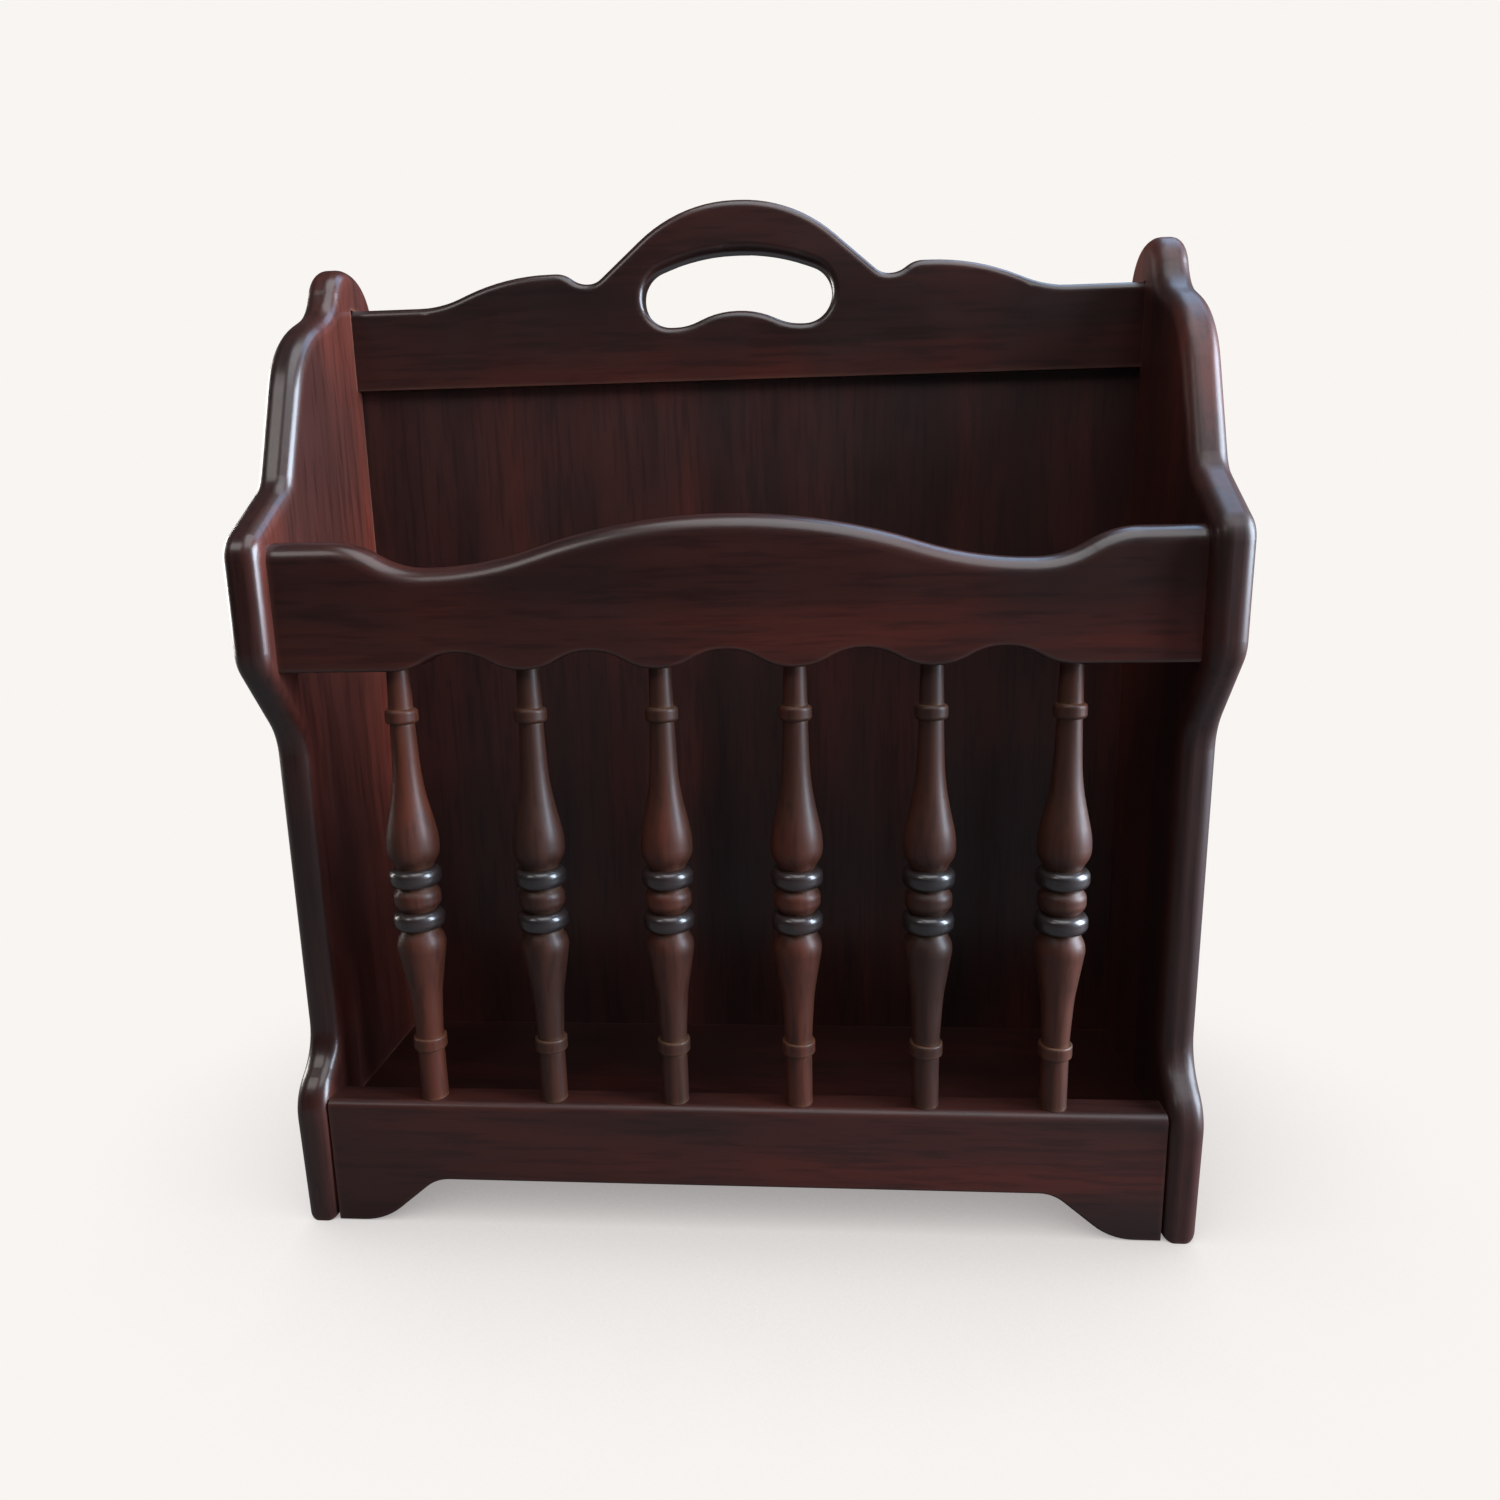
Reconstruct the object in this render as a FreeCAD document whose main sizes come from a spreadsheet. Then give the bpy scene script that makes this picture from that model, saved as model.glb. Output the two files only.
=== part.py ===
import FreeCAD, Part
import math
import os
import re

import Sketcher
from FreeCAD import Vector

# Double magazine rack of turned and scroll-cut wood, in millimetres.
# +X is to the right, +Y to the back and +Z up. The origin is on the ground, under the middle.
# Every size below becomes a named cell of the sheet, and every sketch and feature reads it there.

SIZES = {
    # whole rack
    "overall_width": 435,
    "end_thickness": 17,
    "rail_thickness": 18,
    "rail_plane": 110,
    "foot_length": 40,
    "foot_slope_run": 28,
    "arch_height": 23.5,
    "foot_radius": 30,
    "arch_radius": 18,
    # end panel: half outline, from the hump at the top down to the foot
    "end_height": 470,
    "hump_half": 15.5,
    "hump_radius": 23,
    "cove_half": 27,
    "cove_level": 444.5,
    "cove_radius": 30,
    "shoulder_half": 65,
    "shoulder_level": 425.5,
    "shoulder_radius": 60,
    "neck_half": 91.5,
    "neck_level": 357.5,
    "neck_radius": 18,
    "bulge_half": 128,
    "bulge_top": 332,
    "bulge_top_radius": 14,
    "bulge_bottom": 278,
    "bulge_bottom_radius": 18,
    "waist_half": 100.5,
    "waist_top": 242,
    "waist_top_radius": 24,
    "waist_bottom": 85,
    "foot_half": 122,
    "foot_top": 67,
    "foot_cyma_radius": 24,
    "foot_tip_half": 120,
    "end_roundover": 6.5,
    # divider: thick board with the handle, and the thin panel under it
    "board_thickness": 14,
    "board_bottom": 410,
    "board_top": 495,
    "crest_half": 28.4,
    "crest_radius": 75,
    "dip_inner": 72.3,
    "dip_level": 458.6,
    "dip_radius": 10,
    "dip_outer": 80.6,
    "knoll_radius": 13,
    "knoll_inner": 88.4,
    "knoll_level": 464,
    "knoll_outer": 118.5,
    "sweep_radius": 118,
    "sweep_end": 153.5,
    "sweep_end_radius": 58,
    "board_end_level": 450,
    "board_roundover": 4,
    "thin_panel": 5,
    # carry handle cut-out: half outline
    "grip_bump_half": 10.1,
    "grip_bump_level": 443.5,
    "grip_bump_radius": 45,
    "grip_lobe_inner": 25.9,
    "grip_lobe_inner_radius": 30,
    "grip_bottom": 436.5,
    "grip_half": 47.8,
    "grip_lobe_radius": 13.8,
    "grip_side_top": 460.5,
    "grip_side_radius": 14,
    "grip_arch_half": 18.8,
    "grip_arch_radius": 100,
    "grip_top": 471,
    # top rail: half outline
    "rail_bottom": 275,
    "scallop_rise": 8,
    "scallop_inner": 7.9,
    "scallop_radius": 27,
    "rail_end_top": 332,
    "rail_end_inner": 163.5,
    "rail_dip_outer": 143.5,
    "rail_dip_radius": 40,
    "rail_dip_level": 320,
    "rail_dip_inner": 107,
    "rail_sweep_radius": 155,
    "rail_crest_half": 43,
    "rail_crest_radius": 265,
    "rail_crest_level": 340.5,
    "rail_roundover": 8.5,
    "small_roundover": 1.5,
    # bottom rail and floor
    "low_rail_top": 65,
    "low_rail_roundover": 4,
    "floor_top": 52,
    "floor_thickness": 12,
    # joinery
    "housing_depth": 5,
    "tenon_thickness": 8,
    "tenon_length": 8,
    "tenon_root": 1,
    "top_tenon_bottom": 285,
    "top_tenon_top": 322,
    "low_tenon_bottom": 10,
    "low_tenon_top": 37,
    "glue_gap": 0.1,
    # spindles: radius and level of each feature
    "spindle_pitch": 59.8,
    "pin_radius": 4,
    "pin_length": 10,
    "base_radius": 6.4,
    "base_ring_radius": 7.8,
    "base_ring_level": 94,
    "base_ring_half": 3.2,
    "stem_radius": 6.3,
    "vase_radius": 11.8,
    "vase_level": 146,
    "vase_corner": 11,
    "vase_taper_radius": 7.6,
    "vase_taper_level": 120,
    "vase_taper_corner": 90,
    "groove_radius": 8.2,
    "bead_radius": 12,
    "bead_half": 4.6,
    "bead_corner": 3.6,
    "low_bead_level": 157,
    "mid_bulge_radius": 10.8,
    "mid_bulge_half": 2.6,
    "mid_bulge_corner": 4,
    "high_bead_level": 178,
    "swell_radius": 12,
    "swell_bottom": 189,
    "swell_top": 197,
    "swell_corner": 10,
    "swell_top_corner": 40,
    "slim_radius": 6.5,
    "slim_level": 222,
    "slim_corner": 120,
    "upper_neck_radius": 5.5,
    "ring_radius": 7.4,
    "ring_level": 254,
    "ring_half": 3.4,
    "ring_corner": 1.8,
    "base_ring_corner": 0.9,
    "top_neck_radius": 5,
}

# Values worked out from the sizes above, written as expressions.
INNER = "(overall_width / 2 - end_thickness)"
FOOT_INNER_X = "(overall_width / 2 - foot_length)"
FOOT_INNER_Y = "(foot_half - foot_length)"
FLOOR_HALF = "(rail_plane - rail_thickness / 2)"
MID_PLANE = "0"

SPINDLES_PER_SIDE = 6
HALF_SPINDLES = SPINDLES_PER_SIDE // 2
SIDES = (("front", -1), ("back", 1))
FULL_TURN = 360
TOLERANCE = 1e-4

document = FreeCAD.newDocument("MagazineRack")
sheet = document.addObject("Spreadsheet::Sheet", "Sizes")
for row, (alias, number) in enumerate(SIZES.items(), start=1):
    sheet.set("A%d" % row, alias)
    sheet.set("B%d" % row, str(number))
    sheet.setAlias("B%d" % row, alias)
document.recompute()


def sized(expression):
    """The expression with every size name pointing at its cell on the sheet."""

    def cell(word):
        name = word.group()
        return "Sizes." + name if name in SIZES else name

    return re.sub("[a-z_]+", cell, expression)


def value(expression):
    """The number an expression stands for."""
    return float(sheet.evalExpression(sized(expression)))


def bind(target, name, expression):
    """Drives one property of an object or one constraint of a sketch from the sheet."""
    target.setExpression(name, sized(expression))


def make_body(label, x=None, y=None):
    """An empty body, named after its piece and set at its place in the rack."""
    body = document.addObject("PartDesign::Body", label)
    body.Label = label
    if x:
        bind(body, "Placement.Base.x", x)
    if y:
        bind(body, "Placement.Base.y", y)
    return body


def origin_plane(body, role):
    return next(feature for feature in body.Origin.OriginFeatures if feature.Role == role)


def make_sketch(body, role, level=None):
    """A sketch on one of the body's own planes, lifted off it by `level` if one is given."""
    sketch = body.newObject("Sketcher::SketchObject", body.Label + "_sketch")
    sketch.AttachmentSupport = (origin_plane(body, role), "")
    sketch.MapMode = "FlatFace"
    if level:
        bind(sketch, "AttachmentOffset.Base.z", level)
    return sketch


def point_at(geometry, vertex, x, y):
    """Constraints, each with its expression or None, that fix a sketch point at two expressions."""
    found = []
    for kind, expression, axis in (("DistanceX", x, -2), ("DistanceY", y, -1)):
        if abs(value(expression)) < TOLERANCE:
            found.append((Sketcher.Constraint("PointOnObject", geometry, vertex, axis), None))
        else:
            constraint = Sketcher.Constraint(kind, -1, 1, geometry, vertex, value(expression))
            found.append((constraint, expression))
    return found


def constrain(sketch, rules):
    """Adds (constraint, expression) pairs to a sketch and ties each expression to its constraint."""
    numbers = sketch.addConstraint([rule[0] for rule in rules])
    for number, (_, expression) in zip(numbers, rules):
        if expression:
            bind(sketch, "Constraints[%d]" % number, expression)


def draw_outline(sketch, corners):
    """Draws a closed outline through corners (x, y) or (x, y, radius), rounding those with a radius."""
    count = len(corners)
    spots = [Vector(value(corner[0]), value(corner[1]), 0) for corner in corners]
    back = [(spots[i - 1] - spots[i]).normalize() for i in range(count)]
    ahead = [back[(i + 1) % count] * -1 for i in range(count)]
    radii = [value(corner[2]) if len(corner) == 3 else 0 for corner in corners]
    reach = [radii[i] / math.tan(back[i].getAngle(ahead[i]) / 2) for i in range(count)]
    shapes = []
    first = sketch.GeometryCount
    for i in range(count):
        after = (i + 1) % count
        if reach[i] + reach[after] >= (spots[after] - spots[i]).Length:
            raise ValueError("no room to round %s and %s" % (corners[i], corners[after]))
        start = spots[i] + ahead[i] * reach[i]
        end = spots[after] + back[after] * reach[after]
        shapes.append(Part.LineSegment(start, end))
    rules = []
    for i, corner in enumerate(corners):
        incoming, outgoing = first + (i - 1) % count, first + i
        if not radii[i]:
            rules.append((Sketcher.Constraint("Coincident", incoming, 2, outgoing, 1), None))
            rules += point_at(outgoing, 1, corner[0], corner[1])
            continue
        to_centre = (back[i] + ahead[i]).normalize() * math.hypot(radii[i], reach[i])
        middle = spots[i] + to_centre * (1 - radii[i] / to_centre.Length)
        ends = [spots[i] + back[i] * reach[i], spots[i] + ahead[i] * reach[i]]
        vertices = [1, 2]
        if back[i].cross(ahead[i]).z > 0:
            ends.reverse()
            vertices.reverse()
        arc, apex = first + len(shapes), first + len(shapes) + 1
        shapes += [Part.Arc(ends[0], middle, ends[1]), Part.Point(spots[i])]
        rules += [
            (Sketcher.Constraint("Tangent", incoming, 2, arc, vertices[0]), None),
            (Sketcher.Constraint("Tangent", arc, vertices[1], outgoing, 1), None),
            (Sketcher.Constraint("Radius", arc, radii[i]), corner[2]),
            (Sketcher.Constraint("PointOnObject", apex, 1, incoming), None),
            (Sketcher.Constraint("PointOnObject", apex, 1, outgoing), None),
        ]
        rules += point_at(apex, 1, corner[0], corner[1])
    sketch.addGeometry(shapes, False)
    for number in range(first, first + len(shapes)):
        if isinstance(sketch.Geometry[number], Part.Point):
            sketch.setConstruction(number, True)
    constrain(sketch, rules)


def rectangle(left, right, bottom, top):
    return [(left, bottom), (right, bottom), (right, top), (left, top)]


def pad(body, sketch, length, side="Symmetric", reverse=False):
    feature = body.newObject("PartDesign::Pad", body.Label + "_pad")
    feature.Profile = sketch
    feature.SideType = side
    feature.Reversed = reverse
    bind(feature, "Length", length)
    return feature


def pocket(body, sketch, depth, reverse=False):
    feature = body.newObject("PartDesign::Pocket", body.Label + "_pocket")
    feature.Profile = sketch
    feature.Reversed = reverse
    bind(feature, "Length", depth)
    return feature


def mirror(body, originals, role):
    """Completes a half-drawn piece by mirroring its features in one of its own planes."""
    feature = body.newObject("PartDesign::Mirrored", body.Label + "_mirror")
    feature.Originals = originals
    feature.MirrorPlane = (origin_plane(body, role), [""])
    feature.Refine = True
    body.Tip = feature
    document.recompute()
    return feature


def rim_edges(shape, axis, level, keep, holes=False):
    """Names of the rim edges of the flat face at this level along the axis, filtered by midpoint."""
    flat = [
        face
        for face in shape.Faces
        if isinstance(face.Surface, Part.Plane)
        and abs(abs(face.Surface.Axis.dot(axis)) - 1) < TOLERANCE
        and abs(face.CenterOfMass.dot(axis) - level) < TOLERANCE
    ]
    face = max(flat, key=lambda candidate: candidate.Area)
    rim = face.Edges if holes else face.OuterWire.Edges
    return [
        "Edge%d" % number
        for number, edge in enumerate(shape.Edges, start=1)
        if any(edge.isSame(other) for other in rim) and keep(edge.CenterOfMass)
    ]


def round_over(body, feature, edges, radius):
    rounding = body.newObject("PartDesign::Fillet", body.Label + "_round")
    rounding.Base = (feature, edges)
    bind(rounding, "Radius", radius)
    document.recompute()
    return rounding


def spindle_holes(body, level, upward):
    """Blind holes for the spindle pins in the drawn half of a rail."""
    sketch = make_sketch(body, "XY_Plane", level)
    rules = []
    for i in range(HALF_SPINDLES):
        place = "spindle_pitch * %s" % (i + 0.5)
        circle = Part.Circle(Vector(value(place), 0, 0), Vector(0, 0, 1), value("pin_radius"))
        number = sketch.addGeometry(circle, False)
        rules += point_at(number, 3, place, MID_PLANE)
        rules.append((Sketcher.Constraint("Radius", number, value("pin_radius")), "pin_radius"))
    constrain(sketch, rules)
    document.recompute()
    hole = body.newObject("PartDesign::Hole", body.Label + "_holes")
    hole.Profile = sketch
    hole.ThreadType = "None"
    hole.DepthType = "Dimension"
    hole.DrillPoint = "Flat"
    hole.Reversed = upward
    bind(hole, "Diameter", "2 * (pin_radius + glue_gap)")
    bind(hole, "Depth", "pin_length + glue_gap")
    return hole


def bracket_foot(half_span, outer):
    """Corners from the middle of the arch, down the bracket slope, to the tip of the foot."""
    toe = "(%s)" % half_span
    return [
        ("0", "arch_height"),
        (toe + " - foot_slope_run", "arch_height", "arch_radius"),
        (toe, "0", "foot_radius"),
        (outer, "0"),
    ]


def make_end_panel(label, side):
    """A scroll-cut end panel with its housings on the inner face; side is -1 left, +1 right."""
    body = make_body(label, x="%d * %s" % (side, INNER))
    outline = make_sketch(body, "YZ_Plane")
    draw_outline(
        outline,
        bracket_foot(FOOT_INNER_Y, "foot_tip_half")
        + [
            ("foot_half", "foot_top", "foot_cyma_radius"),
            ("waist_half", "waist_bottom", "foot_cyma_radius"),
            ("waist_half", "waist_top", "waist_top_radius"),
            ("bulge_half", "bulge_bottom", "bulge_bottom_radius"),
            ("bulge_half", "bulge_top", "bulge_top_radius"),
            ("neck_half", "neck_level", "neck_radius"),
            ("shoulder_half", "shoulder_level", "shoulder_radius"),
            ("cove_half", "cove_level", "cove_radius"),
            ("hump_half", "end_height", "hump_radius"),
            ("0", "end_height"),
        ],
    )
    panel = pad(body, outline, "end_thickness", "One side", side < 0)

    housing = make_sketch(body, "YZ_Plane")
    draw_outline(
        housing,
        [
            ("0", "floor_top - floor_thickness - glue_gap"),
            (FLOOR_HALF, "floor_top - floor_thickness - glue_gap"),
            (FLOOR_HALF, "floor_top"),
            ("thin_panel / 2 + glue_gap", "floor_top"),
            ("thin_panel / 2 + glue_gap", "board_bottom"),
            ("board_thickness / 2", "board_bottom"),
            ("board_thickness / 2", "board_end_level"),
            ("0", "board_end_level"),
        ],
    )
    housings = pocket(body, housing, "housing_depth + glue_gap", side > 0)

    mortise = make_sketch(body, "YZ_Plane")
    near = "rail_plane - tenon_thickness / 2 - glue_gap"
    far = "rail_plane + tenon_thickness / 2 + glue_gap"
    draw_outline(
        mortise, rectangle(near, far, "low_tenon_bottom - glue_gap", "low_tenon_top + glue_gap")
    )
    draw_outline(
        mortise, rectangle(near, far, "top_tenon_bottom - glue_gap", "top_tenon_top + glue_gap")
    )
    mortises = pocket(body, mortise, "tenon_length + glue_gap", side > 0)
    whole = mirror(body, [panel, housings, mortises], "XZ_Plane")

    def off_the_ground(midpoint):
        in_the_arch = abs(midpoint.y) < value(FOOT_INNER_Y) and midpoint.z < value("foot_top")
        return midpoint.z > TOLERANCE and not in_the_arch

    edges = rim_edges(whole.Shape, Vector(1, 0, 0), 0, off_the_ground)
    edges += rim_edges(whole.Shape, Vector(1, 0, 0), side * value("end_thickness"), off_the_ground)
    round_over(body, whole, edges, "end_roundover")
    return body


def finish_rail(body, features, top_radius, split):
    """Mirrors a half rail and eases its long edges; those above the split level get the larger radius."""
    whole = mirror(body, features, "YZ_Plane")
    inner = value(INNER)

    def upper(midpoint):
        return abs(midpoint.x) < inner - TOLERANCE and midpoint.z > split

    def lower(midpoint):
        return abs(midpoint.x) < inner - TOLERANCE and TOLERANCE < midpoint.z <= split

    feature = whole
    for keep, radius in ((upper, top_radius), (lower, "small_roundover")):
        edges = []
        for face in (-1, 1):
            level = face * value("rail_thickness") / 2
            edges += rim_edges(feature.Shape, Vector(0, 1, 0), level, keep)
        feature = round_over(body, feature, edges, radius)
    return body


def tenon(body, bottom, top):
    """A tenon on the right end of a rail, rooted a little inside it."""
    sketch = make_sketch(body, "XZ_Plane")
    draw_outline(sketch, rectangle(INNER + " - tenon_root", INNER + " + tenon_length", bottom, top))
    return pad(body, sketch, "tenon_thickness")


def make_top_rail(label, side):
    """A rail with a wavy top edge and a scalloped underside; side is -1 front, +1 back."""
    body = make_body(label, y="%d * rail_plane" % side)
    scallops = [("0", "rail_bottom + scallop_rise")]
    for i in range(SPINDLES_PER_SIDE - 1):
        crest_first = i % 2 == 0
        start, end = "spindle_pitch * %s" % (i / 2), "spindle_pitch * %s" % ((i + 1) / 2)
        levels = ["rail_bottom + scallop_rise", "rail_bottom"]
        if not crest_first:
            levels.reverse()
        scallops.append((start + " + scallop_inner", levels[0], "scallop_radius"))
        scallops.append((end + " - scallop_inner", levels[1], "scallop_radius"))
    outline = make_sketch(body, "XZ_Plane")
    draw_outline(
        outline,
        scallops
        + [
            (INNER, "rail_bottom"),
            (INNER, "rail_end_top"),
            ("rail_end_inner", "rail_end_top", "rail_dip_radius"),
            ("rail_dip_outer", "rail_dip_level", "rail_dip_radius"),
            ("rail_dip_inner", "rail_dip_level", "rail_sweep_radius"),
            ("rail_crest_half", "rail_crest_level", "rail_crest_radius"),
            ("0", "rail_crest_level"),
        ],
    )
    rail = pad(body, outline, "rail_thickness")
    ends = tenon(body, "top_tenon_bottom", "top_tenon_top")
    holes = spindle_holes(body, "rail_bottom", True)
    middle = value("(rail_bottom + rail_end_top) / 2")
    return finish_rail(body, [rail, ends, holes], "rail_roundover", middle)


def make_bottom_rail(label, side):
    """A straight rail on bracket feet; side is -1 front, +1 back."""
    body = make_body(label, y="%d * rail_plane" % side)
    outline = make_sketch(body, "XZ_Plane")
    draw_outline(
        outline,
        bracket_foot(FOOT_INNER_X, INNER) + [(INNER, "low_rail_top"), ("0", "low_rail_top")],
    )
    rail = pad(body, outline, "rail_thickness")
    ends = tenon(body, "low_tenon_bottom", "low_tenon_top")
    holes = spindle_holes(body, "low_rail_top", False)
    below_top = value("low_rail_top") - TOLERANCE
    return finish_rail(body, [rail, ends, holes], "low_rail_roundover", below_top)


def make_handle_board():
    """The upper divider board: knolls, dips, a raised crest and the carry-handle cut-out."""
    body = make_body("divider_handle_board")
    board_end = INNER + " + housing_depth"
    outline = make_sketch(body, "XZ_Plane")
    draw_outline(
        outline,
        [
            ("0", "board_top"),
            ("crest_half", "board_top", "crest_radius"),
            ("dip_inner", "dip_level", "dip_radius"),
            ("dip_outer", "dip_level", "knoll_radius"),
            ("knoll_inner", "knoll_level", "knoll_radius"),
            ("knoll_outer", "knoll_level", "sweep_radius"),
            ("sweep_end", "board_end_level", "sweep_end_radius"),
            (board_end, "board_end_level"),
            (board_end, "board_bottom"),
            ("0", "board_bottom"),
            ("0", "grip_bump_level"),
            ("grip_bump_half", "grip_bump_level", "grip_bump_radius"),
            ("grip_lobe_inner", "grip_bottom", "grip_lobe_inner_radius"),
            ("grip_half", "grip_bottom", "grip_lobe_radius"),
            ("grip_half", "grip_side_top", "grip_side_radius"),
            ("grip_arch_half", "grip_top", "grip_arch_radius"),
            ("0", "grip_top"),
        ],
    )
    board = pad(body, outline, "board_thickness")
    groove = make_sketch(body, "XY_Plane", "board_bottom")
    half = "thin_panel / 2 + glue_gap"
    draw_outline(groove, rectangle("0", board_end, "-(%s)" % half, half))
    slot = pocket(body, groove, "housing_depth + glue_gap", True)
    whole = mirror(body, [board, slot], "YZ_Plane")

    def scrolled(midpoint):
        clear_of_end = abs(midpoint.x) < value(board_end) - TOLERANCE
        return clear_of_end and midpoint.z > value("board_bottom") + TOLERANCE

    edges = []
    for face in (-1, 1):
        level = face * value("board_thickness") / 2
        edges += rim_edges(whole.Shape, Vector(0, 1, 0), level, scrolled, holes=True)
    round_over(body, whole, edges, "board_roundover")
    return body


def make_flat_board(label, role, width, low, high, thickness, offset=None):
    """A plain board drawn on one plane and padded evenly both ways."""
    body = make_body(label)
    outline = make_sketch(body, role, offset)
    draw_outline(outline, rectangle("-(%s)" % width, width, low, high))
    pad(body, outline, thickness)
    return body


def make_floor():
    body = make_flat_board(
        "floor_board",
        "XY_Plane",
        INNER + " + housing_depth",
        "-" + FLOOR_HALF,
        FLOOR_HALF,
        "floor_thickness",
        "floor_top - floor_thickness / 2",
    )
    groove = make_sketch(body, "XY_Plane", "floor_top")
    half = "thin_panel / 2 + glue_gap"
    board_end = INNER + " + housing_depth"
    draw_outline(groove, rectangle("-(%s)" % board_end, board_end, "-(%s)" % half, half))
    pocket(body, groove, "housing_depth + glue_gap")
    return body


def bead(level):
    """Corners of one half-round bead standing on the spindle's groove radius."""
    low, high = level + " - bead_half", level + " + bead_half"
    return [
        ("groove_radius", low),
        ("bead_radius", low, "bead_corner"),
        ("bead_radius", high, "bead_corner"),
        ("groove_radius", high),
    ]


def make_spindle(label, side, place):
    """A turned spindle: its half profile, from the lower pin to the upper one, spun about Z."""
    body = make_body(label, x="spindle_pitch * %s" % place, y="%d * rail_plane" % side)
    profile = make_sketch(body, "XZ_Plane")
    base = [
        ("0", "low_rail_top - pin_length"),
        ("pin_radius", "low_rail_top - pin_length"),
        ("pin_radius", "low_rail_top"),
        ("base_radius", "low_rail_top"),
        ("stem_radius", "base_ring_level - base_ring_half"),
        ("base_ring_radius", "base_ring_level - base_ring_half", "base_ring_corner"),
        ("base_ring_radius", "base_ring_level + base_ring_half", "base_ring_corner"),
        ("stem_radius", "base_ring_level + base_ring_half"),
    ]
    vase = [
        ("vase_taper_radius", "vase_taper_level", "vase_taper_corner"),
        ("vase_radius", "vase_level", "vase_corner"),
    ]
    centre = "(low_bead_level + high_bead_level) / 2"
    mid_bulge = [
        ("mid_bulge_radius", centre + " - mid_bulge_half", "mid_bulge_corner"),
        ("mid_bulge_radius", centre + " + mid_bulge_half", "mid_bulge_corner"),
    ]
    swell = [
        ("swell_radius", "swell_bottom", "swell_corner"),
        ("swell_radius", "swell_top", "swell_top_corner"),
        ("slim_radius", "slim_level", "slim_corner"),
    ]
    top = [
        ("upper_neck_radius", "ring_level - ring_half"),
        ("ring_radius", "ring_level - ring_half", "ring_corner"),
        ("ring_radius", "ring_level + ring_half", "ring_corner"),
        ("upper_neck_radius", "ring_level + ring_half"),
        ("top_neck_radius", "rail_bottom"),
        ("pin_radius", "rail_bottom"),
        ("pin_radius", "rail_bottom + pin_length"),
        ("0", "rail_bottom + pin_length"),
    ]
    draw_outline(
        profile, base + vase + bead("low_bead_level") + mid_bulge + bead("high_bead_level") + swell + top
    )
    turning = body.newObject("PartDesign::Revolution", label + "_turning")
    turning.Profile = profile
    turning.ReferenceAxis = (profile, ["V_Axis"])
    turning.Angle = FULL_TURN
    return body


pieces = [
    make_end_panel("end_panel_left", -1),
    make_end_panel("end_panel_right", 1),
    make_handle_board(),
    make_flat_board(
        "divider_panel",
        "XZ_Plane",
        INNER + " + housing_depth",
        "floor_top - housing_depth",
        "board_bottom + housing_depth",
        "thin_panel",
    ),
    make_floor(),
]
for name, side in SIDES:
    pieces.append(make_top_rail(name + "_top_rail", side))
    pieces.append(make_bottom_rail(name + "_bottom_rail", side))
    for i in range(SPINDLES_PER_SIDE):
        place = i - (SPINDLES_PER_SIDE - 1) / 2
        pieces.append(make_spindle("%s_spindle_%d" % (name, i + 1), side, place))
document.recompute()

for thing in document.Objects:
    if {"Invalid", "Error"} & set(thing.State):
        raise RuntimeError("%s did not build: %s" % (thing.Label, thing.State))
os.makedirs("parts", exist_ok=True)
for piece in pieces:
    if piece.Shape.isNull() or not piece.Shape.isValid() or len(piece.Shape.Solids) != 1:
        raise RuntimeError("%s is not one valid solid" % piece.Label)
    piece.Shape.exportStep("parts/%s.step" % piece.Label)
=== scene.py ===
import math

import bpy
from mathutils import Matrix, Vector

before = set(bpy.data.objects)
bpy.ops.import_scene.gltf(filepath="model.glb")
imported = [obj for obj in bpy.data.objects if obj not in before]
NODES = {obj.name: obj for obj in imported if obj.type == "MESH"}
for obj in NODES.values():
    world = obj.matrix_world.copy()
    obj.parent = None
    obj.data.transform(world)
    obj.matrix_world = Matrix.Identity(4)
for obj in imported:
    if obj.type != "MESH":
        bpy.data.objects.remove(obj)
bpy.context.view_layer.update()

# A wooden magazine rack in a small studio. Every CAD piece gets stained and lacquered wood of its own;
# none is moved or reshaped. Lengths are in metres and places are in the frame of the CAD model.

# Places of a Mix node's factor and two colours among its inputs.
MIX_INPUTS = (0, 6, 7)


def opaque(colour):
    return (*colour, 1.0)


class Graph:
    """A short way to write the node graph of a material or a world."""

    def __init__(self, owner):
        owner.use_nodes = True
        self.tree = owner.node_tree
        self.tree.nodes.clear()

    def feed(self, socket, source):
        if isinstance(source, bpy.types.NodeSocket):
            self.tree.links.new(source, socket)
        else:
            socket.default_value = source

    def add(self, kind, inputs=(), **settings):
        node = self.tree.nodes.new(kind)
        for name, setting in settings.items():
            setattr(node, name, setting)
        for name, source in dict(inputs).items():
            self.feed(node.inputs[name], source)
        return node

    def math(self, operation, first, second=0.0, third=0.0, clamp=False):
        node = self.add("ShaderNodeMath", operation=operation, use_clamp=clamp)
        for socket, source in zip(node.inputs, (first, second, third)):
            self.feed(socket, source)
        return node.outputs[0]

    def noise(self, place, pattern):
        names = ("Scale", "Detail", "Roughness", "Distortion")
        node = self.add("ShaderNodeTexNoise", {"Vector": place, **dict(zip(names, pattern))})
        return node.outputs["Fac"]

    def ramp(self, factor, stops):
        node = self.add("ShaderNodeValToRGB", {"Fac": factor})
        elements = node.color_ramp.elements
        while len(elements) < len(stops):
            elements.new(0.5)
        for element, (place, colour) in zip(elements, stops):
            element.position = place
            element.color = opaque(colour)
        return node.outputs["Color"]

    def mix(self, factor, first, second, blend="MIX"):
        node = self.add("ShaderNodeMix", data_type="RGBA", blend_type=blend)
        for number, source in zip(MIX_INPUTS, (factor, first, second)):
            self.feed(node.inputs[number], source)
        return node.outputs[2]

    def finish(self, shader, kind="ShaderNodeOutputMaterial"):
        self.add(kind, {"Surface": shader})


# ---- wood ----

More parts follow.
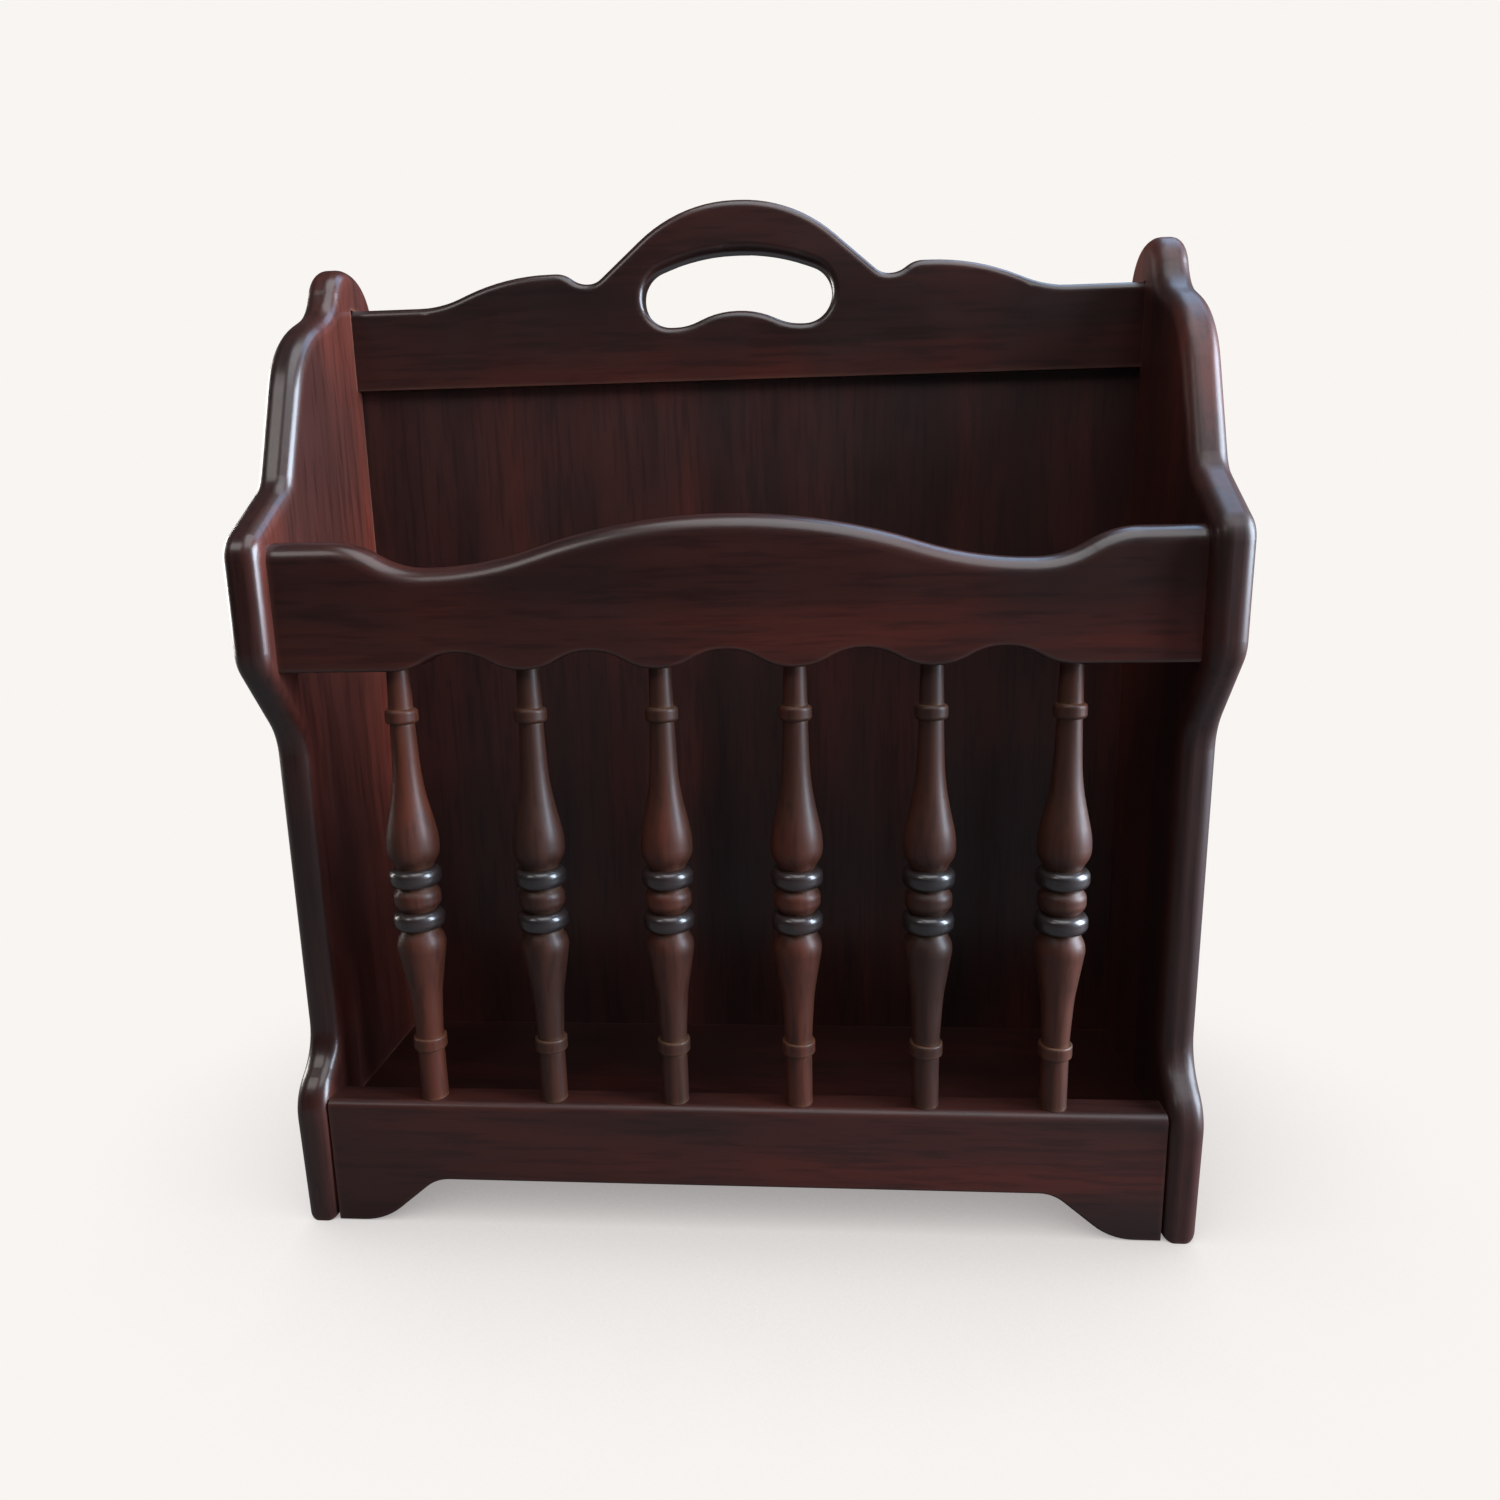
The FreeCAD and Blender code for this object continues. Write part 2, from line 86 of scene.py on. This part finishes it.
# Stain colours, linear.
DARK = (0.0170, 0.0055, 0.0040)
MID = (0.0360, 0.0110, 0.0078)
RED = (0.0820, 0.0165, 0.0095)
WORN = (0.1400, 0.0620, 0.0400)
BEAD_BLACK = (0.0060, 0.0060, 0.0070)

# Noise patterns: scale, detail, roughness and distortion. The first three are drawn out along the grain.
FIGURE = (26.0, 5.0, 0.6, 0.6)
STREAK = (15.0, 2.0, 0.5, 0.3)
PORE = (420.0, 2.0, 0.5, 0.0)
CLOUD = (7.0, 3.0, 0.5, 0.0)
PATCH = (11.0, 1.0, 0.5, 0.0)
RUB = (60.0, 4.0, 0.55, 0.0)
SMEAR = (34.0, 3.0, 0.6, 0.0)

# What the patterns do: the figure sets the stain, and the others multiply it.
FIGURE_STOPS = ((0.30, DARK), (0.52, MID), (0.80, RED))
STREAK_STOPS = ((0.40, (0.66, 0.68, 0.72)), (0.62, (1.50, 1.20, 1.10)))
PATCH_STOPS = ((0.42, (0.85, 0.85, 0.90)), (0.62, (1.35, 1.05, 1.0)))
PORE_STOPS = ((0.36, (0.35, 0.35, 0.35)), (0.50, (1.0, 1.0, 1.0)))
CLOUD_STRENGTH = 0.5
PATCH_STRENGTH = 0.8
PORE_STRENGTH = 0.5

# How many times finer the pattern is across the grain than along it, and how far it differs from one
# piece to the next.
GRAIN_STRETCH = 14.0
PATTERN_STEP = 0.37
PATTERN_DRIFT = (1.7, 2.3, 0.9)
ALONG_X, ALONG_Z = 0, 2
UPRIGHT = ("divider_panel", "end_panel_left", "end_panel_right")

# How bright each piece is made, and how much browner a turned piece is than a board. The brightness is
# partly the stain and partly painted light and shade: the left end panel is painted far lighter than the
# right one, as if lit from the side.
RAIL_LIFT = 0.90
SPINDLE_LIFT = 1.00
TURNED_TINT = (1.10, 1.36, 1.04)
BOARD_TINT = (1.0, 1.0, 1.0)
LIFTS_WITH_PAINTED_LIGHT = {
    "divider_panel": 0.95,
    "divider_handle_board": 0.92,
    "floor_board": 0.40,
    "end_panel_left": 2.30,
    "end_panel_right": 1.00,
    "front_bottom_rail": 0.78,
}

# Painted shade on the narrow edges of an end panel: they are made darker than its sideways faces by these
# factors, so that the faces look lit from the side. An edge is where the surface faces less than the
# first share sideways, and a face more than the second.
PAINTED_EDGE_SHADE = {"end_panel_left": 0.42, "end_panel_right": 0.95}
EDGE_SHARE, FACE_SHARE = 0.55, 0.95

# The two dark, glossy beads of each spindle, from and to these levels.
BEADS = ((0.1524, 0.1616), (0.1734, 0.1826))
BEAD_STRENGTH = 0.8

# Lacquer: roughness of the wood below it and thickness of the clear coat, with the duller boards apart.
BOARD_ROUGHNESS = 0.27
BOARD_COAT = 0.50
SPINDLE_ROUGHNESS = 0.42
SPINDLE_COAT = 0.05
DULLER = {
    "divider_panel": (0.40, 0.20),
    "end_panel_right": (0.40, 0.18),
    "front_bottom_rail": (0.38, 0.20),
}
COAT_ROUGHNESS = 0.21
SPECULAR = 0.35
SMEAR_STRENGTH = 0.18
BUMP_STRENGTH = 0.10
BUMP_DEPTH = 0.0006

# Wear on the rounded edges.
EDGE_WIDTH = 0.004
EDGE_SHARPNESS = 6.0
EDGE_SAMPLES = 6
EDGE_WEAR = 0.6


def grain_place(graph, position, axis, offset):
    """Texture coordinates stretched along the grain, and shifted so that no two boards match."""
    stretch = [1.0, 1.0, 1.0]
    stretch[axis] = 1.0 / GRAIN_STRETCH
    shift = [offset * drift for drift in PATTERN_DRIFT]
    place = graph.add("ShaderNodeMapping", {"Vector": position, "Location": shift, "Scale": stretch})
    return place.outputs["Vector"]


def edge_mask(graph):
    """1 on edges and tight curves, 0 on flat faces."""
    rounded = graph.add("ShaderNodeBevel", {"Radius": EDGE_WIDTH}, samples=EDGE_SAMPLES).outputs["Normal"]
    flat = graph.add("ShaderNodeNewGeometry").outputs["Normal"]
    alike = graph.add("ShaderNodeVectorMath", {0: rounded, 1: flat}, operation="DOT_PRODUCT")
    apart = graph.math("SUBTRACT", 1.0, alike.outputs["Value"])
    return graph.math("MULTIPLY", apart, EDGE_SHARPNESS, clamp=True)


def bead_mask(graph, position):
    """1 between the levels of either bead, 0 elsewhere."""
    level = graph.add("ShaderNodeSeparateXYZ", {"Vector": position}).outputs["Z"]
    mask = 0.0
    for low, high in BEADS:
        inside = graph.math("COMPARE", level, (low + high) / 2, (high - low) / 2)
        mask = graph.math("ADD", mask, inside, clamp=True)
    return mask


def stain_colour(graph, position, grain, figure, pores):
    """Grain figure, broad streaks and patches, dark pores and rubbed edges."""
    colour = graph.ramp(figure, FIGURE_STOPS)
    streaks = graph.ramp(graph.noise(grain, STREAK), STREAK_STOPS)
    colour = graph.mix(1.0, colour, streaks, "MULTIPLY")
    cloud = graph.math("MULTIPLY", graph.noise(position, CLOUD), CLOUD_STRENGTH)
    colour = graph.mix(cloud, colour, opaque(MID))
    patches = graph.ramp(graph.noise(position, PATCH), PATCH_STOPS)
    colour = graph.mix(PATCH_STRENGTH, colour, patches, "MULTIPLY")
    specks = graph.ramp(pores, PORE_STOPS)
    colour = graph.mix(PORE_STRENGTH, colour, specks, "MULTIPLY")
    rub = graph.math("MULTIPLY", edge_mask(graph), graph.noise(position, RUB), clamp=True)
    return graph.mix(graph.math("MULTIPLY", rub, EDGE_WEAR), colour, opaque(WORN))


def paint_edge_shade(graph, colour, factor):
    """Painted shade: multiplies the colour by the factor where the surface faces forward, back, up or
    down.
    """
    normal = graph.add("ShaderNodeNewGeometry").outputs["Normal"]
    sideways = graph.add("ShaderNodeSeparateXYZ", {"Vector": normal}).outputs["X"]
    share = graph.math("ABSOLUTE", sideways)
    stops = ((EDGE_SHARE, (factor, factor, factor)), (FACE_SHARE, (1.0, 1.0, 1.0)))
    return graph.mix(1.0, colour, graph.ramp(share, stops), "MULTIPLY")


def lacquered_wood(graph, colour, roughness, coat, relief):
    """The shader of every piece: stained wood with a fine relief, under a clear coat."""
    bump = graph.add(
        "ShaderNodeBump", {"Height": relief, "Strength": BUMP_STRENGTH, "Distance": BUMP_DEPTH}
    )
    shader = graph.add(
        "ShaderNodeBsdfPrincipled",
        {
            "Base Color": colour,
            "Roughness": roughness,
            "Normal": bump.outputs["Normal"],
            "Coat Weight": coat,
            "Coat Roughness": COAT_ROUGHNESS,
            "Specular IOR Level": SPECULAR,
        },
    )
    return shader.outputs["BSDF"]


def stained_wood(piece, axis, offset, lift, turned):
    """Dark red-brown stained wood under lacquer; a turned piece is duller, with glossy black beads."""
    material = bpy.data.materials.new("wood_" + piece)
    graph = Graph(material)
    position = graph.add("ShaderNodeTexCoord").outputs["Object"]
    grain = grain_place(graph, position, axis, offset)
    figure = graph.noise(grain, FIGURE)
    pores = graph.noise(grain, PORE)
    colour = stain_colour(graph, position, grain, figure, pores)
    # The lift scales the stain; on the left end panel it paints on light.
    tint = [lift * part for part in (TURNED_TINT if turned else BOARD_TINT)]
    colour = graph.mix(1.0, colour, opaque(tint), "MULTIPLY")
    roughness, coat = DULLER.get(piece, (BOARD_ROUGHNESS, BOARD_COAT))
    # Painted shade on the narrow edges of an end panel.
    if piece in PAINTED_EDGE_SHADE:
        colour = paint_edge_shade(graph, colour, PAINTED_EDGE_SHADE[piece])
    if turned:
        beads = bead_mask(graph, position)
        colour = graph.mix(graph.math("MULTIPLY", beads, BEAD_STRENGTH), colour, opaque(BEAD_BLACK))
        roughness = SPINDLE_ROUGHNESS
        coat = graph.math("ADD", beads, SPINDLE_COAT, clamp=True)
    smears = graph.math("MULTIPLY", graph.noise(position, SMEAR), SMEAR_STRENGTH)
    roughness = graph.math("ADD", roughness, smears)
    relief = graph.math("MULTIPLY", graph.math("ADD", pores, figure), 0.5)
    graph.finish(lacquered_wood(graph, colour, roughness, coat, relief))
    return material


def dress_pieces():
    """Gives every CAD piece its own wood, with the grain running along the piece."""
    for index, name in enumerate(sorted(NODES)):
        turned = "spindle" in name
        axis = ALONG_Z if turned or name in UPRIGHT else ALONG_X
        lift = LIFTS_WITH_PAINTED_LIGHT.get(name, SPINDLE_LIFT if turned else RAIL_LIFT)
        slots = NODES[name].data.materials
        slots.clear()
        slots.append(stained_wood(name, axis, PATTERN_STEP * index, lift, turned))


# ---- studio ----

# The pale surroundings as the camera sees them, linear.
BACKDROP = (0.945, 0.915, 0.888)
FLOOR_SIZE = 20.0

# Soft shadow on the floor: its colour where nothing of the sky is seen, how far it reaches, and the
# share of open sky at which it ends.
CONTACT_SHADE = (0.30, 0.28, 0.28)
SHADE_REACH = 0.30
SHADE_END = 0.85
SHADE_SAMPLES = 8

# The surroundings as the wood sees them.
DULL_FLOOR = (0.155, 0.145, 0.140)
ROOM = (0.88, 0.92, 1.0)
ROOM_STRENGTH = 0.05

# Lights: place, width and height, power in watts, colour. Each points at AIM.
AIM = (0.0, 0.0, 0.25)
LIGHTS = {
    "window": ((2.2, -0.32, 1.0), (1.5, 1.8), 215.0, (0.72, 0.85, 1.0)),
    "sky_front": ((0.2, -0.6, 1.9), (1.3, 1.6), 22.0, (0.93, 0.96, 1.0)),
    "sky_left": ((-1.23, -1.35, 1.9), (0.8, 0.8), 8.0, (1.0, 0.96, 0.94)),
    "sky_back": ((0.7, 0.6, 1.85), (0.9, 0.9), 11.0, (0.45, 0.68, 1.0)),
    "back_fill": ((-2.4, 1.0, 0.7), (1.4, 1.2), 55.0, (1.0, 0.95, 0.90)),
}

# Camera: a little above the rack and to the right of its middle, looking slightly left and down.
# The shift moves the picture off the lens axis, as cropping does.
CAMERA_PLACE = Vector((0.0424, -0.5678, 0.3264))
CAMERA_YAW = math.radians(-4.23)
CAMERA_PITCH = math.radians(12.02)
CAMERA_ROLL = math.radians(1.16)
CAMERA_LENS_MM = 25.02
SENSOR_WIDTH_MM = 36.0
CAMERA_SHIFT = (0.0011, 0.0123)
NEAREST_SEEN = 0.01


def seen_or_not(graph, unseen, seen):
    """One shader for camera rays, and the other for the light that bounces around."""
    camera_ray = graph.add("ShaderNodeLightPath").outputs["Is Camera Ray"]
    both = graph.add("ShaderNodeMixShader", {0: camera_ray, 1: unseen.outputs[0], 2: seen.outputs[0]})
    return both.outputs[0]


def make_floor():
    """A pale sheet: even and softly shaded for the camera, dull for the light that bounces off it."""
    bpy.ops.mesh.primitive_plane_add(size=FLOOR_SIZE)
    floor = bpy.context.active_object
    floor.name = "studio_floor"
    material = bpy.data.materials.new("floor_paper")
    graph = Graph(material)
    open_sky = graph.add(
        "ShaderNodeAmbientOcclusion", {"Distance": SHADE_REACH}, samples=SHADE_SAMPLES
    ).outputs["AO"]
    shade = graph.ramp(open_sky, ((0.0, CONTACT_SHADE), (SHADE_END, BACKDROP)))
    paper = graph.add("ShaderNodeEmission", {"Color": shade})
    dull = graph.add("ShaderNodeBsdfDiffuse", {"Color": opaque(DULL_FLOOR)})
    graph.finish(seen_or_not(graph, dull, paper))
    floor.data.materials.append(material)


def make_world():
    """A pale backdrop for the camera, and a much dimmer room for everything else."""
    world = bpy.data.worlds.new("studio")
    bpy.context.scene.world = world
    graph = Graph(world)
    room = graph.add("ShaderNodeBackground", {"Color": opaque(ROOM), "Strength": ROOM_STRENGTH})
    backdrop = graph.add("ShaderNodeBackground", {"Color": opaque(BACKDROP)})
    graph.finish(seen_or_not(graph, room, backdrop), "ShaderNodeOutputWorld")


def make_lights():
    """Rectangular soft lights, all turned towards the rack."""
    for name, (place, size, power, colour) in LIGHTS.items():
        light = bpy.data.lights.new(name, "AREA")
        light.shape = "RECTANGLE"
        light.size, light.size_y = size
        light.energy = power
        light.color = colour
        lamp = bpy.data.objects.new(name, light)
        lamp.location = place
        lamp.rotation_euler = (Vector(AIM) - Vector(place)).to_track_quat("-Z", "Y").to_euler()
        bpy.context.scene.collection.objects.link(lamp)


def make_camera():
    """A camera turned by its yaw, then tipped down by its pitch, then rolled."""
    across, along = math.sin(CAMERA_YAW), math.cos(CAMERA_YAW)
    flat, drop = math.cos(CAMERA_PITCH), math.sin(CAMERA_PITCH)
    forward = Vector((across * flat, along * flat, -drop))
    level = Vector((along, -across, 0))
    down = forward.cross(level)
    right = level * math.cos(CAMERA_ROLL) + down * math.sin(CAMERA_ROLL)
    up = level * math.sin(CAMERA_ROLL) - down * math.cos(CAMERA_ROLL)
    data = bpy.data.cameras.new("camera")
    data.lens = CAMERA_LENS_MM
    data.sensor_width = SENSOR_WIDTH_MM
    data.shift_x, data.shift_y = CAMERA_SHIFT
    data.clip_start = NEAREST_SEEN
    camera = bpy.data.objects.new("camera", data)
    turn = Matrix((right, up, -forward)).transposed().to_4x4()
    camera.matrix_world = Matrix.Translation(CAMERA_PLACE) @ turn
    bpy.context.scene.collection.objects.link(camera)
    bpy.context.scene.camera = camera


dress_pieces()
make_floor()
make_world()
make_lights()
make_camera()
bpy.context.scene.view_settings.view_transform = "Standard"
